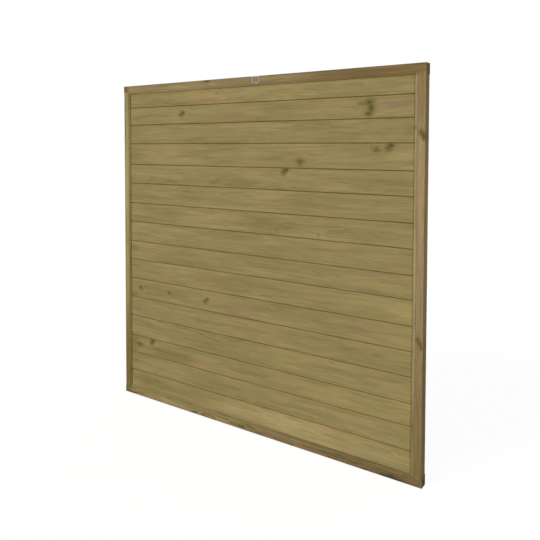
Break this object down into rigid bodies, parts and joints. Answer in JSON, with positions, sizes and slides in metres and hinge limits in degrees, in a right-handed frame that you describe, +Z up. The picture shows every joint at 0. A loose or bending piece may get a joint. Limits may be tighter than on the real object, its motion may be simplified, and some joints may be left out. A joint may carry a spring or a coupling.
{
  "type": "horizontal fence panel",
  "caption": "Square timber fence panel with horizontal tongue-and-groove boards held by beads in a rebated frame, with battens at the back.",
  "frame": {"origin": "under the middle of the bottom rail, half way through the frame's depth", "axes": "+X along the panel to the right, +Y from the front face to the back, +Z up"},
  "size_m": [1.83, 0.0453, 1.83],
  "materials": {
    "frame_timber": "planed, pressure-treated, weathered brown",
    "board_timber": "planed, pressure-treated, olive green",
    "bead_timber": "planed, pressure-treated",
    "batten_timber": "planed, pressure-treated",
    "galvanised_wire": "zinc coated",
    "plate_metal": "satin"
  },
  "bodies": {
    "root": {"top_rail": "frame_timber", "bottom_rail": "frame_timber", "left_stile": "frame_timber", "right_stile": "frame_timber", "bottom_board": "board_timber", "board_02": "board_timber", "board_03": "board_timber", "board_04": "board_timber", "board_05": "board_timber", "board_06": "board_timber", "board_07": "board_timber", "board_08": "board_timber", "board_09": "board_timber", "board_10": "board_timber", "board_11": "board_timber", "board_12": "board_timber", "board_13": "board_timber", "board_14": "board_timber", "board_15": "board_timber", "top_board": "board_timber", "top_bead": "bead_timber", "bottom_bead": "bead_timber", "left_bead": "bead_timber", "right_bead": "bead_timber", "back_batten_1": "batten_timber", "back_batten_2": "batten_timber", "frame_nails": "galvanised_wire", "bead_brads": "galvanised_wire", "batten_brads": "galvanised_wire", "plate_pins": "galvanised_wire", "blank_plate": "plate_metal"}
  },
  "joints": []
}
